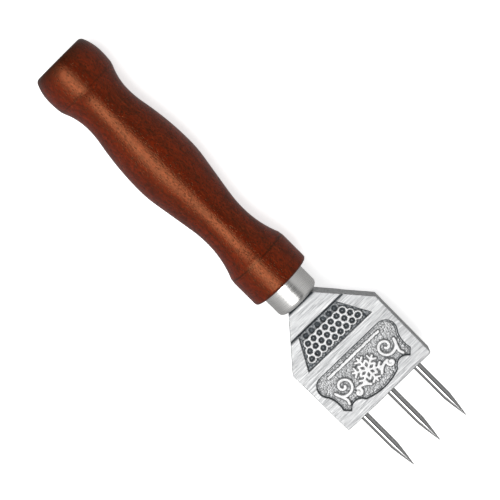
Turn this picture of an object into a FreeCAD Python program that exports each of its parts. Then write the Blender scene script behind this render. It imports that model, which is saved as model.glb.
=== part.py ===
import FreeCAD, Part
import math
import os
import Sketcher
from FreeCAD import Vector

# A three-prong ice pick: a turned wooden handle with a pressed-on ferrule, a cast head bolted on by
# a stud, and three steel prongs pressed into the head. Lengths are in millimetres. Every sub-part is
# drawn in one local frame: X runs along the tool from the pommel's end face, Y runs across the head
# and Z is its thickness.

doc = FreeCAD.newDocument("ice_pick")

sizes = {
    "total_length": 210.0,
    # turned handle: radii at their distances from the pommel's end face
    "pommel_flat_radius": 10.4,
    "pommel_edge_round": 2.0,
    "pommel_radius": 14.0,
    "pommel_peak": 9.4,
    "pommel_crease_radius": 13.55,
    "pommel_crease": 15.5,
    "neck_radius": 10.85,
    "neck_place": 26.8,
    "neck_cove": 40.0,
    "belly_radius": 13.75,
    "belly_place": 57.4,
    "belly_fall": 50.0,
    "waist_radius": 9.77,
    "waist_place": 90.2,
    "waist_cove": 52.0,
    "shoulder_radius": 13.15,
    "shoulder_place": 106.8,
    "collar_radius": 13.33,
    "collar_place": 109.4,
    "collar_end": 121.0,
    "collar_edge_round": 1.1,
    # ferrule over the handle's tenon
    "ferrule_radius": 9.6,
    "ferrule_length": 10.1,
    "ferrule_wall": 1.0,
    "ferrule_edge_round": 2.2,
    # stud that joins handle and head
    "stud_radius": 3.0,
    "stud_in_handle": 52.0,
    "stud_in_head": 15.0,
    "stud_point": 5.0,
    "stud_chamfer": 0.6,
    "wood_thread_depth": 0.7,
    "wood_thread_pitch": 2.4,
    "wood_thread_turns": 17,
    "machine_thread_depth": 0.55,
    "machine_thread_pitch": 1.0,
    "machine_thread_turns": 13,
    "drill_spare": 1.5,
    # cast head
    "head_gap": 0.4,
    "head_boss_radius": 5.0,
    "head_length": 49.6,
    "head_top_width": 13.0,
    "head_width": 45.0,
    "head_end_width": 44.6,
    "head_thickness": 9.3,
    "head_corner_round": 0.9,
    "shoulder_length": 18.6,
    "plateau_length": 8.5,
    "plateau_rise": 0.7,
    # dimpled panel under the plateau
    "panel_start": 8.8,
    "panel_end": 21.95,
    "panel_top_width": 19.7,
    "panel_end_width": 34.0,
    "panel_depth": 0.9,
    "web_inset": 1.6,
    "web_low_inset": 2.55,
    "web_rise": 0.6,
    "dimple_radius": 1.2,
    "dimple_depth": 0.5,
    "dimple_pitch": 3.09,
    "dimple_row_pitch": 2.7,
    "dimple_first_row": 10.9,
    "dimple_first_count": 6,
    # cartouche: distances from the head's top edge and half-widths
    "cartouche_depth": 0.9,
    "cartouche_top": 26.6,
    "cartouche_top_half": 15.05,
    "cartouche_corner": 4.7,
    "cheek_place": 34.6,
    "cheek_half": 18.7,
    "pinch_radius": 11.5,
    "ear_place": 42.4,
    "ear_half": 18.0,
    "ear_tip_place": 44.7,
    "ear_tip_half": 15.7,
    "arch_radius": 4.0,
    "arch_place": 45.2,
    "arch_half": 8.6,
    "cartouche_end": 46.9,
    # generic ornament standing on the cartouche's floor
    "ornament_rise": 0.75,
    "star_place": 36.4,
    "star_radius": 6.2,
    "star_arm_width": 1.1,
    "scroll_half": 11.4,
    "scroll_place": 34.6,
    "scroll_radius": 3.4,
    "scroll_line": 1.0,
    # prongs
    "prong_radius": 1.75,
    "prong_root_radius": 1.3,
    "prong_spacing": 14.2,
    "prong_hole_depth": 16.0,
    "prong_cone": 11.7,
    "prong_tip_radius": 0.12,
    "prong_chamfer": 0.4,
}

sheet = doc.addObject("Spreadsheet::Sheet", "sizes")
for row, (alias, value) in enumerate(sizes.items(), 1):
    sheet.set("A%d" % row, alias)
    sheet.set("B%d" % row, str(value))
    sheet.setAlias("B%d" % row, alias)
doc.recompute()

START, END, CENTRE = 1, 2, 3
ORIGIN = (-1, 1)
head_top = sizes["collar_end"] + sizes["ferrule_length"] + sizes["head_gap"]
HEAD_TOP = "(sizes.collar_end + sizes.ferrule_length + sizes.head_gap)"
HEAD_END = "(%s + sizes.head_length)" % HEAD_TOP
head_end = head_top + sizes["head_length"]


def new_body(label):
    """An empty body at the tool's place in the row frame: long axis along X, resting on the pommel."""
    body = doc.addObject("PartDesign::Body", label)
    body.Label = label
    body.setExpression("Placement.Base.x", "-sizes.total_length / 2")
    body.setExpression("Placement.Base.z", "sizes.pommel_radius")
    return body


def new_sketch(body, name, height=None):
    """A sketch on the body's XY plane, raised along Z by an expression where one is given."""
    plane = next(p for p in body.Origin.OriginFeatures if p.Role == "XY_Plane")
    sketch = body.newObject("Sketcher::SketchObject", name)
    sketch.AttachmentSupport = [(plane, "")]
    sketch.MapMode = "FlatFace"
    if height:
        sketch.setExpression("AttachmentOffset.Base.z", height)
    return sketch


def bind(sketch, kind, *where, to):
    """A dimension that follows the sheet. Its first value is the size that is already drawn."""
    value = {
        "Radius": lambda: sketch.Geometry[where[0]].Radius,
        "DistanceX": lambda: sketch.getPoint(*where[2:]).x - sketch.getPoint(*where[:2]).x,
        "DistanceY": lambda: sketch.getPoint(*where[2:]).y - sketch.getPoint(*where[:2]).y,
    }[kind]()
    index = sketch.addConstraint(Sketcher.Constraint(kind, *where, value))
    sketch.setExpression("Constraints[%d]" % index, to)


def place(sketch, point, along=None, across=None):
    """Holds a point at distances from the origin, on the side of each axis where it is drawn."""
    drawn = sketch.getPoint(*point)
    for kind, distance, coordinate in (("DistanceX", along, drawn.x), ("DistanceY", across, drawn.y)):
        if distance is None:
            continue
        first, second = (point, ORIGIN) if coordinate < 0 else (ORIGIN, point)
        bind(sketch, kind, *first, *second, to=distance)


def polygon(sketch, corners):
    """A closed outline of straight lines. Each corner is ((x, y), x expression, y expression)."""
    points = [Vector(x, y, 0) for (x, y), _, _ in corners]
    lines = [
        sketch.addGeometry(Part.LineSegment(a, b)) for a, b in zip(points, points[1:] + points[:1])
    ]
    for line, following in zip(lines, lines[1:] + lines[:1]):
        sketch.addConstraint(Sketcher.Constraint("Coincident", line, END, following, START))
    for line, (_, along, across) in zip(lines, corners):
        place(sketch, (line, START), along, across)
    return lines


def add_arc(sketch, centre, left, right):
    """An arc between two points, given by their order along X. Returns its left end and its right end."""
    bulges_out = centre.y <= left.y
    first, last = (right, left) if bulges_out else (left, right)
    angles = [math.atan2(p.y - centre.y, p.x - centre.x) % (2 * math.pi) for p in (first, last)]
    circle = Part.Circle(centre, Vector(0, 0, 1), (left - centre).Length)
    arc = sketch.addGeometry(Part.ArcOfCircle(circle, *angles))
    return ((arc, END), (arc, START)) if bulges_out else ((arc, START), (arc, END))


def feature(body, kind, name, sketch, **settings):
    """A PartDesign feature on a sketch. A setting given as text is an expression."""
    made = body.newObject("PartDesign::" + kind, name)
    made.Profile = sketch
    for setting, value in settings.items():
        if isinstance(value, str):
            made.setExpression(setting, value)
        else:
            setattr(made, setting, value)
    sketch.Visibility = False
    return made


def revolve(body, kind, name, sketch):
    """A full turn about the tool's axis, which is the sketch's horizontal axis."""
    return feature(body, kind, name, sketch, ReferenceAxis=(sketch, ["H_Axis"]))


def row_of(body, base, name, sketch, pitch, count, axis="H_Axis"):
    """Repeats a feature in a line. Length is the distance from the first to the last."""
    row = body.newObject("PartDesign::LinearPattern", name)
    row.Originals = [base]
    row.Direction = (sketch, [axis])
    row.setExpression("Length", "%s * (%s - 1)" % (pitch, count))
    row.setExpression("Occurrences", count)
    body.Tip = row
    return row


def tangent(sketch, first, second):
    sketch.addConstraint(Sketcher.Constraint("Tangent", *first, *second))


def join(sketch, first, second):
    sketch.addConstraint(Sketcher.Constraint("Coincident", *first, *second))


def crest(sketch, arc_end):
    """Puts an arc's centre straight above or below its end, so that the profile is level there."""
    sketch.addConstraint(Sketcher.Constraint("Vertical", arc_end[0], CENTRE, *arc_end))


def wood_handle():
    """One turning: rounded pommel, neck, belly, waist, collar, and the tenon inside the ferrule."""
    s = sizes
    body = new_body("wood_handle")
    sketch = new_sketch(body, "handle_profile")

    def line(a, b):
        return sketch.addGeometry(Part.LineSegment(Vector(*a, 0), Vector(*b, 0)))

    def arc(centre, left, right):
        return add_arc(sketch, Vector(*centre, 0), Vector(*left, 0), Vector(*right, 0))

    def level_radius(place, radius, end_place, end_radius):
        """Radius of the arc that is level at one point and passes through the other."""
        step = abs(end_place - place)
        rise = abs(end_radius - radius)
        return (step * step + rise * rise) / (2 * rise)

    pommel = (s["pommel_peak"], s["pommel_radius"])
    crease = (s["pommel_crease"], s["pommel_crease_radius"])
    neck = (s["neck_place"], s["neck_radius"])
    belly = (s["belly_place"], s["belly_radius"])
    waist = (s["waist_place"], s["waist_radius"])
    shoulder = (s["shoulder_place"], s["shoulder_radius"])
    collar = (s["collar_place"], s["collar_radius"])
    tenon_end = s["collar_end"] + s["ferrule_length"] - s["ferrule_wall"]
    tenon_radius = s["ferrule_radius"] - s["ferrule_wall"]

    # pommel: the small edge round and the crown that rises from it to the peak
    edge = s["pommel_edge_round"]
    run = pommel[0] - edge
    rise = pommel[1] - s["pommel_flat_radius"]
    crown = (run * run + rise * rise - edge * edge) / (2 * (rise - edge))
    slope = math.atan2(pommel[1] - crown - s["pommel_flat_radius"], run)
    meet = (edge - edge * math.cos(slope), s["pommel_flat_radius"] - edge * math.sin(slope))
    face = line((0, 0), (0, s["pommel_flat_radius"]))
    edge_arc = arc((edge, s["pommel_flat_radius"]), (0, s["pommel_flat_radius"]), meet)
    crown_arc = arc((pommel[0], pommel[1] - crown), meet, pommel)
    back = level_radius(*pommel, *crease)
    back_arc = arc((pommel[0], pommel[1] - back), pommel, crease)

    # neck: a tight cove behind the crease, then a wide one that runs into the belly
    tight = level_radius(*neck, *crease)
    tight_arc = arc((neck[0], neck[1] + tight), crease, neck)
    both = level_radius(*neck, *belly)
    share = s["neck_cove"] / both
    turn = (neck[0] + share * (belly[0] - neck[0]), neck[1] + share * (belly[1] - neck[1]))
    wide_arc = arc((neck[0], neck[1] + s["neck_cove"]), neck, turn)
    rising_arc = arc((belly[0], belly[1] - both + s["neck_cove"]), turn, belly)

    # belly to waist: an arc, a straight run and a cove
    steep = (belly[1] - waist[1]) / (waist[0] - belly[0]) * 1.4
    fall_end = (belly[0] + s["belly_fall"] * steep, belly[1] - s["belly_fall"] * steep**2 / 2)
    cove_start = (waist[0] - s["waist_cove"] * steep, waist[1] + s["waist_cove"] * steep**2 / 2)
    falling_arc = arc((belly[0], belly[1] - s["belly_fall"]), belly, fall_end)
    run_line = line(fall_end, cove_start)
    cove_arc = arc((waist[0], waist[1] + s["waist_cove"]), cove_start, waist)
    rise_radius = level_radius(*waist, *shoulder)
    rise_arc = arc((waist[0], waist[1] + rise_radius), waist, shoulder)

    # collar with its end face, and the tenon
    ease = level_radius(*collar, *shoulder)
    corner = s["collar_edge_round"]
    ease_arc = arc((collar[0], collar[1] - ease), shoulder, collar)
    collar_line = line(collar, (s["collar_end"] - corner, collar[1]))
    corner_arc = arc(
        (s["collar_end"] - corner, collar[1] - corner),
        (s["collar_end"] - corner, collar[1]),
        (s["collar_end"], collar[1] - corner),
    )
    end_face = line((s["collar_end"], collar[1] - corner), (s["collar_end"], tenon_radius))
    tenon = line((s["collar_end"], tenon_radius), (tenon_end, tenon_radius))
    tenon_face = line((tenon_end, tenon_radius), (tenon_end, 0))
    axis = line((tenon_end, 0), (0, 0))

    join(sketch, (axis, END), (face, START))
    join(sketch, (face, START), ORIGIN)
    sketch.addConstraint(Sketcher.Constraint("Vertical", face))
    tangent(sketch, (face, END), edge_arc[0])
    tangent(sketch, edge_arc[1], crown_arc[0])
    join(sketch, crown_arc[1], back_arc[0])
    join(sketch, back_arc[1], tight_arc[0])
    join(sketch, tight_arc[1], wide_arc[0])
    tangent(sketch, wide_arc[1], rising_arc[0])
    join(sketch, rising_arc[1], falling_arc[0])
    tangent(sketch, falling_arc[1], (run_line, START))
    tangent(sketch, (run_line, END), cove_arc[0])
    join(sketch, cove_arc[1], rise_arc[0])
    join(sketch, rise_arc[1], ease_arc[0])
    tangent(sketch, ease_arc[1], (collar_line, START))
    tangent(sketch, (collar_line, END), corner_arc[0])
    tangent(sketch, corner_arc[1], (end_face, START))
    join(sketch, (end_face, END), (tenon, START))
    join(sketch, (tenon, END), (tenon_face, START))
    join(sketch, (tenon_face, END), (axis, START))
    for level in (collar_line, tenon, axis):
        sketch.addConstraint(Sketcher.Constraint("Horizontal", level))
    for upright in (end_face, tenon_face):
        sketch.addConstraint(Sketcher.Constraint("Vertical", upright))
    for arc_end in (
        crown_arc[1],
        back_arc[0],
        tight_arc[1],
        wide_arc[0],
        rising_arc[1],
        falling_arc[0],
        cove_arc[1],
        rise_arc[0],
    ):
        crest(sketch, arc_end)

    place(sketch, (face, END), across="sizes.pommel_flat_radius")
    place(sketch, back_arc[0], "sizes.pommel_peak", "sizes.pommel_radius")
    place(sketch, tight_arc[0], "sizes.pommel_crease", "sizes.pommel_crease_radius")
    place(sketch, wide_arc[0], "sizes.neck_place", "sizes.neck_radius")
    place(sketch, falling_arc[0], "sizes.belly_place", "sizes.belly_radius")
    place(sketch, rise_arc[0], "sizes.waist_place", "sizes.waist_radius")
    place(sketch, ease_arc[0], "sizes.shoulder_place", "sizes.shoulder_radius")
    place(sketch, (collar_line, START), "sizes.collar_place", "sizes.collar_radius")
    place(sketch, (tenon, START), "sizes.collar_end", "sizes.ferrule_radius - sizes.ferrule_wall")
    place(sketch, (axis, START), "sizes.collar_end + sizes.ferrule_length - sizes.ferrule_wall")
    bind(sketch, "Radius", edge_arc[0][0], to="sizes.pommel_edge_round")
    bind(sketch, "Radius", wide_arc[0][0], to="sizes.neck_cove")
    bind(sketch, "Radius", falling_arc[0][0], to="sizes.belly_fall")
    bind(sketch, "Radius", cove_arc[0][0], to="sizes.waist_cove")
    bind(sketch, "Radius", corner_arc[0][0], to="sizes.collar_edge_round")
    revolve(body, "Revolution", "turning", sketch)

    # blind bore for the stud, a little deeper than the stud's point
    bore = new_sketch(body, "bore_profile")
    bore_end = head_top - s["head_gap"] - s["ferrule_wall"] - s["stud_in_handle"] - s["drill_spare"]
    tenon_text = "sizes.collar_end + sizes.ferrule_length - sizes.ferrule_wall"
    end_text = "%s - sizes.stud_in_handle" % tenon_text
    drill_text = "%s - sizes.drill_spare" % end_text
    shank = bore_end + s["drill_spare"] + s["stud_point"]
    polygon(
        bore,
        [
            ((bore_end, 0), drill_text, None),
            ((shank, s["stud_radius"]), "%s + sizes.stud_point" % end_text, "sizes.stud_radius"),
            ((tenon_end, s["stud_radius"]), tenon_text, "sizes.stud_radius"),
            ((tenon_end, 0), tenon_text, None),
        ],
    )
    hold_on_axis(bore, (0, 3))
    revolve(body, "Groove", "stud_bore", bore)
    return body


def hold_on_axis(sketch, lines):
    """Keeps the starts of the given lines on the tool's axis."""
    for line in lines:
        sketch.addConstraint(Sketcher.Constraint("PointOnObject", line, START, -1))


def ferrule():
    """A drawn cup over the tenon, with a rounded closed end and a hole that the stud passes through."""
    s = sizes
    body = new_body("ferrule")
    sketch = new_sketch(body, "cup_profile")
    near = s["collar_end"]
    far = near + s["ferrule_length"]
    outer = s["ferrule_radius"]
    inner = outer - s["ferrule_wall"]
    far_text = "sizes.collar_end + sizes.ferrule_length"
    inner_text = "sizes.ferrule_radius - sizes.ferrule_wall"
    polygon(
        sketch,
        [
            ((near, outer), "sizes.collar_end", "sizes.ferrule_radius"),
            ((near, inner), "sizes.collar_end", inner_text),
            ((far - s["ferrule_wall"], inner), far_text + " - sizes.ferrule_wall", inner_text),
            (
                (far - s["ferrule_wall"], s["stud_radius"]),
                far_text + " - sizes.ferrule_wall",
                "sizes.stud_radius",
            ),
            ((far, s["stud_radius"]), far_text, "sizes.stud_radius"),
            ((far, outer), far_text, "sizes.ferrule_radius"),
        ],
    )
    cup = revolve(body, "Revolution", "cup", sketch)
    doc.recompute()
    rim = edges_where(cup, lambda e: on_circle(e, far, outer))
    rounded = body.newObject("PartDesign::Fillet", "rounded_end")
    rounded.Base = (cup, rim)
    rounded.setExpression("Radius", "sizes.ferrule_edge_round")
    return body


def edges_where(made, test):
    """Names of a feature's edges that pass a test."""
    return ["Edge%d" % (i + 1) for i, edge in enumerate(made.Shape.Edges) if test(edge)]


def on_circle(edge, along, radius):
    """True for a full circle about the tool's axis, at one place along it and of one radius."""
    curve = edge.Curve
    if not isinstance(curve, Part.Circle):
        return False
    local = edge.CenterOfMass
    return abs(curve.Radius - radius) < 1e-4 and abs(local.x - along) < 1e-4


def stud():
    """A hanger stud: a coarse thread with a point in the wood, a fine one in the head, both as rings."""
    s = sizes
    body = new_body("stud")
    joint = s["collar_end"] + s["ferrule_length"] - s["ferrule_wall"]
    joint_text = "sizes.collar_end + sizes.ferrule_length - sizes.ferrule_wall"
    tip = joint - s["stud_in_handle"]
    tip_text = joint_text + " - sizes.stud_in_handle"
    end = head_top + s["stud_in_head"]
    end_text = HEAD_TOP + " + sizes.stud_in_head"
    sketch = new_sketch(body, "stud_profile")
    polygon(
        sketch,
        [
            ((tip, 0), tip_text, None),
            (
                (tip + s["stud_point"], s["stud_radius"]),
                tip_text + " + sizes.stud_point",
                "sizes.stud_radius",
            ),
            (
                (end - s["stud_chamfer"], s["stud_radius"]),
                end_text + " - sizes.stud_chamfer",
                "sizes.stud_radius",
            ),
            ((end, s["stud_radius"] - s["stud_chamfer"]), end_text, "sizes.stud_radius - sizes.stud_chamfer"),
            ((end, 0), end_text, None),
        ],
    )
    hold_on_axis(sketch, (0, 4))
    revolve(body, "Revolution", "bar", sketch)
    thread(body, "wood_thread", tip + s["stud_point"], tip_text + " + sizes.stud_point")
    last = "sizes.machine_thread_pitch * sizes.machine_thread_turns"
    start = end - s["stud_chamfer"] - s["machine_thread_pitch"] * s["machine_thread_turns"]
    thread(body, "machine_thread", start, "%s - sizes.stud_chamfer - %s" % (end_text, last))
    return body


def thread(body, name, start, start_text):
    """V grooves one pitch apart, cut round the bar from the given place on."""
    depth = sizes[name + "_depth"]
    pitch = sizes[name + "_pitch"]
    pitch_text = "sizes.%s_pitch" % name
    sketch = new_sketch(body, name + "_profile")
    radius = sizes["stud_radius"]
    polygon(
        sketch,
        [
            ((start + pitch * 0.1, radius), "%s + %s * 0.1" % (start_text, pitch_text), "sizes.stud_radius"),
            (
                (start + pitch * 0.5, radius - depth),
                "%s + %s * 0.5" % (start_text, pitch_text),
                "sizes.stud_radius - sizes.%s_depth" % name,
            ),
            ((start + pitch * 0.9, radius), "%s + %s * 0.9" % (start_text, pitch_text), "sizes.stud_radius"),
        ],
    )
    groove = revolve(body, "Groove", name + "_groove", sketch)
    row_of(body, groove, name, sketch, pitch_text, "sizes.%s_turns" % name)


def head_casting():
    """The flat casting: plateau, dimpled panel, cartouche, ornament, and holes for stud and prongs."""
    body = new_body("head_casting")
    plate(body)
    dimpled_panel(body)
    cartouche(body)
    ornament(body)
    head_holes(body)
    return body


def plate(body):
    """The block with its sloping shoulders, and the thicker plateau next to the ferrule."""
    s = sizes
    slope_end = head_top + s["shoulder_length"]
    slope_text = HEAD_TOP + " + sizes.shoulder_length"
    top, wide, low = s["head_top_width"] / 2, s["head_width"] / 2, s["head_end_width"] / 2
    outline = new_sketch(body, "head_outline")
    polygon(
        outline,
        [
            ((head_top, -top), HEAD_TOP, "sizes.head_top_width / 2"),
            ((slope_end, -wide), slope_text, "sizes.head_width / 2"),
            ((head_end, -low), HEAD_END, "sizes.head_end_width / 2"),
            ((head_end, low), HEAD_END, "sizes.head_end_width / 2"),
            ((slope_end, wide), slope_text, "sizes.head_width / 2"),
            ((head_top, top), HEAD_TOP, "sizes.head_top_width / 2"),
        ],
    )
    block = feature(body, "Pad", "block", outline, Length="sizes.head_thickness", Midplane=True)
    doc.recompute()
    corners = edges_where(
        block, lambda e: abs(e.CenterOfMass.x - head_end) < 0.1 and abs(e.tangentAt(0).z) > 0.9
    )
    rounded = body.newObject("PartDesign::Fillet", "rounded_corners")
    rounded.Base = (block, corners)
    rounded.setExpression("Radius", "sizes.head_corner_round")

    step = head_top + s["plateau_length"]
    grow = (s["head_width"] - s["head_top_width"]) * s["plateau_length"] / s["shoulder_length"]
    grow_text = "(sizes.head_width - sizes.head_top_width) * sizes.plateau_length / sizes.shoulder_length"
    step_half = (s["head_top_width"] + grow) / 2
    step_text = "(sizes.head_top_width + %s) / 2" % grow_text
    ledge = HEAD_TOP + " + sizes.plateau_length"
    plateau = new_sketch(body, "plateau_outline")
    polygon(
        plateau,
        [
            ((head_top, -top), HEAD_TOP, "sizes.head_top_width / 2"),
            ((step, -step_half), ledge, step_text),
            ((step, step_half), ledge, step_text),
            ((head_top, top), HEAD_TOP, "sizes.head_top_width / 2"),
        ],
    )
    thick = "sizes.head_thickness + 2 * sizes.plateau_rise"
    feature(body, "Pad", "plateau", plateau, Length=thick, Midplane=True)

    # a low round boss carries the ferrule's closed end
    boss = new_sketch(body, "boss_profile")
    low_text = "sizes.collar_end + sizes.ferrule_length"
    low_end = head_top - s["head_gap"]
    polygon(
        boss,
        [
            ((low_end, 0), low_text, None),
            ((low_end, s["head_boss_radius"]), low_text, "sizes.head_boss_radius"),
            ((head_top, s["head_boss_radius"]), HEAD_TOP, "sizes.head_boss_radius"),
            ((head_top, 0), HEAD_TOP, None),
        ],
    )
    hold_on_axis(boss, (0, 3))
    revolve(body, "Revolution", "boss", boss)


def dimpled_panel(body):
    """A tapering recess whose floor carries a thin raised web with staggered rows of round dimples."""
    s = sizes
    start, end = head_top + s["panel_start"], head_top + s["panel_end"]
    start_text, end_text = HEAD_TOP + " + sizes.panel_start", HEAD_TOP + " + sizes.panel_end"
    face = "sizes.head_thickness / 2"
    floor = face + " - sizes.panel_depth"
    for name, inset, low_inset, lift, kind, height in (
        ("panel", None, None, face, "Pocket", "sizes.panel_depth"),
        ("web", "web_inset", "web_low_inset", floor, "Pad", "sizes.web_rise"),
    ):
        inset_text = "sizes.%s" % inset if inset else "0"
        low_inset_text = "sizes.%s" % low_inset if low_inset else "0"
        near, far = start + s.get(inset, 0) / 2, end - s.get(inset, 0)
        top, low = s["panel_top_width"] / 2 - s.get(inset, 0), s["panel_end_width"] / 2 - s.get(low_inset, 0)
        near_text = "%s + %s / 2" % (start_text, inset_text)
        far_text = "%s - %s" % (end_text, inset_text)
        top_text = "sizes.panel_top_width / 2 - %s" % inset_text
        low_text = "sizes.panel_end_width / 2 - %s" % low_inset_text
        sketch = new_sketch(body, name + "_outline", lift)
        polygon(
            sketch,
            [
                ((near, -top), near_text, top_text),
                ((far, -low), far_text, low_text),
                ((far, low), far_text, low_text),
                ((near, top), near_text, top_text),
            ],
        )
        feature(body, kind, name, sketch, Length=height)

    web_top = "sizes.head_thickness / 2 - sizes.panel_depth + sizes.web_rise"
    for row in range(4):
        count = s["dimple_first_count"] + row
        along = head_top + s["dimple_first_row"] + row * s["dimple_row_pitch"]
        side = (count - 1) * s["dimple_pitch"] / 2
        sketch = new_sketch(body, "dimple_%d_outline" % row, web_top)
        circle = sketch.addGeometry(Part.Circle(Vector(along, -side, 0), Vector(0, 0, 1), s["dimple_radius"]))
        place(
            sketch,
            (circle, CENTRE),
            "%s + sizes.dimple_first_row + %d * sizes.dimple_row_pitch" % (HEAD_TOP, row),
            "(sizes.dimple_first_count + %d - 1) * sizes.dimple_pitch / 2" % row,
        )
        bind(sketch, "Radius", circle, to="sizes.dimple_radius")
        dimple = feature(body, "Pocket", "dimple_%d" % row, sketch, Length="sizes.dimple_depth")
        count_text = "sizes.dimple_first_count + %d" % row
        row_of(body, dimple, "dimple_row_%d" % row, sketch, "sizes.dimple_pitch", count_text, "V_Axis")


def cartouche(body):
    """A recess with round upper corners, pinched cheeks, two ears and a curved lower edge."""
    s = sizes
    sketch = new_sketch(body, "cartouche_outline", "sizes.head_thickness / 2")
    corner = s["cartouche_corner"]
    top = head_top + s["cartouche_top"]
    cheek = head_top + s["cheek_place"]
    ear = head_top + s["ear_place"]
    ear_tip = head_top + s["ear_tip_place"]
    arch = head_top + s["arch_place"]
    end = head_top + s["cartouche_end"]

    def middle(a, b, radius, side):
        """The middle of an arc from a to b: half-way, moved sideways by the arc's rise."""
        chord = b - a
        rise = radius - math.sqrt(radius**2 - chord.Length**2 / 4)
        return (a + b) * 0.5 + Vector(-chord.y, chord.x, 0).normalize() * rise * side

    ends = {}
    for side in (1, -1):
        points = {
            "top": Vector(top, side * s["cartouche_top_half"], 0),
            "cheek": Vector(cheek, side * s["cheek_half"], 0),
            "ear": Vector(ear, side * s["ear_half"], 0),
            "ear_tip": Vector(ear_tip, side * s["ear_tip_half"], 0),
            "arch": Vector(arch, side * s["arch_half"], 0),
        }

        def curve(start, finish, radius, bend):
            a, b = points[start], points[finish]
            via = middle(a, b, radius, bend * side)
            arc = Part.Arc(a, via, b)
            number = sketch.addGeometry(arc)
            begins = sketch.getPoint(number, START).distanceToPoint(a) < 1e-6
            return (number, START if begins else END), (number, END if begins else START)

        corner_ends = curve("top", "cheek", corner, 1)
        pinch_ends = curve("cheek", "ear", s["pinch_radius"], -1)
        ear_line = sketch.addGeometry(Part.LineSegment(points["ear"], points["ear_tip"]))
        arch_ends = curve("ear_tip", "arch", s["arch_radius"], -1)
        join(sketch, corner_ends[1], pinch_ends[0])
        join(sketch, pinch_ends[1], (ear_line, START))
        join(sketch, (ear_line, END), arch_ends[0])
        place(sketch, corner_ends[0], HEAD_TOP + " + sizes.cartouche_top", "sizes.cartouche_top_half")
        place(sketch, pinch_ends[0], HEAD_TOP + " + sizes.cheek_place", "sizes.cheek_half")
        place(sketch, (ear_line, START), HEAD_TOP + " + sizes.ear_place", "sizes.ear_half")
        place(sketch, (ear_line, END), HEAD_TOP + " + sizes.ear_tip_place", "sizes.ear_tip_half")
        place(sketch, arch_ends[1], HEAD_TOP + " + sizes.arch_place", "sizes.arch_half")
        bind(sketch, "Radius", corner_ends[0][0], to="sizes.cartouche_corner")
        bind(sketch, "Radius", pinch_ends[0][0], to="sizes.pinch_radius")
        bind(sketch, "Radius", arch_ends[0][0], to="sizes.arch_radius")
        ends[side] = (corner_ends[0], arch_ends[1])

    top_line = sketch.addGeometry(
        Part.LineSegment(sketch.getPoint(*ends[1][0]), sketch.getPoint(*ends[-1][0]))
    )
    join(sketch, (top_line, START), ends[1][0])
    join(sketch, (top_line, END), ends[-1][0])
    low, high = sketch.getPoint(*ends[-1][1]), sketch.getPoint(*ends[1][1])
    rise, half = end - arch, s["arch_half"]
    radius = (rise * rise + half * half) / (2 * rise)
    angle = math.asin(half / radius)
    belly = sketch.addGeometry(
        Part.ArcOfCircle(Part.Circle(Vector(end - radius, 0, 0), Vector(0, 0, 1), radius), -angle, angle)
    )
    assert sketch.getPoint(belly, START).distanceToPoint(low) < 1e-3
    assert sketch.getPoint(belly, END).distanceToPoint(high) < 1e-3
    join(sketch, (belly, START), ends[-1][1])
    join(sketch, (belly, END), ends[1][1])
    place(sketch, (belly, CENTRE), HEAD_TOP + " + sizes.cartouche_end - (%s)" % radius_text())
    feature(body, "Pocket", "cartouche", sketch, Length="sizes.cartouche_depth")


def radius_text():
    """Radius of the cartouche's lower edge, from its rise and its half-width."""
    rise = "(sizes.cartouche_end - sizes.arch_place)"
    return "(%s * %s + sizes.arch_half * sizes.arch_half) / (2 * %s)" % (rise, rise, rise)


def ornament(body):
    """A six-armed star between two round scrolls, all standing on the cartouche's floor."""
    s = sizes
    floor = "sizes.head_thickness / 2 - sizes.cartouche_depth"
    arm = new_sketch(body, "star_arm_outline", floor)
    arm.setExpression("AttachmentOffset.Base.x", HEAD_TOP + " + sizes.star_place")
    width, reach = s["star_arm_width"] / 2, s["star_radius"]
    corner_text = "sizes.star_radius - sizes.star_arm_width / 2"
    polygon(
        arm,
        [
            ((0, -width), "0", "sizes.star_arm_width / 2"),
            ((reach - width, -width), corner_text, "sizes.star_arm_width / 2"),
            ((reach, 0), "sizes.star_radius", None),
            ((reach - width, width), corner_text, "sizes.star_arm_width / 2"),
            ((0, width), "0", "sizes.star_arm_width / 2"),
        ],
    )
    hold_on_axis(arm, (2,))
    arm_pad = feature(body, "Pad", "star_arm", arm, Length="sizes.ornament_rise")
    star = body.newObject("PartDesign::PolarPattern", "star")
    star.Originals = [arm_pad]
    star.Axis = (arm, ["N_Axis"])
    star.Angle = 360
    star.Occurrences = 6
    body.Tip = star

    rings = new_sketch(body, "scroll_outline", floor)
    for side in (-1, 1):
        centre = Vector(head_top + s["scroll_place"], side * s["scroll_half"], 0)
        for radius, text in (
            (s["scroll_radius"], "sizes.scroll_radius"),
            (s["scroll_radius"] - s["scroll_line"], "sizes.scroll_radius - sizes.scroll_line"),
            (s["scroll_line"], "sizes.scroll_line"),
        ):
            ring = rings.addGeometry(Part.Circle(centre, Vector(0, 0, 1), radius))
            place(rings, (ring, CENTRE), HEAD_TOP + " + sizes.scroll_place", "sizes.scroll_half")
            bind(rings, "Radius", ring, to=text)
    feature(body, "Pad", "scrolls", rings, Length="sizes.ornament_rise")


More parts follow.
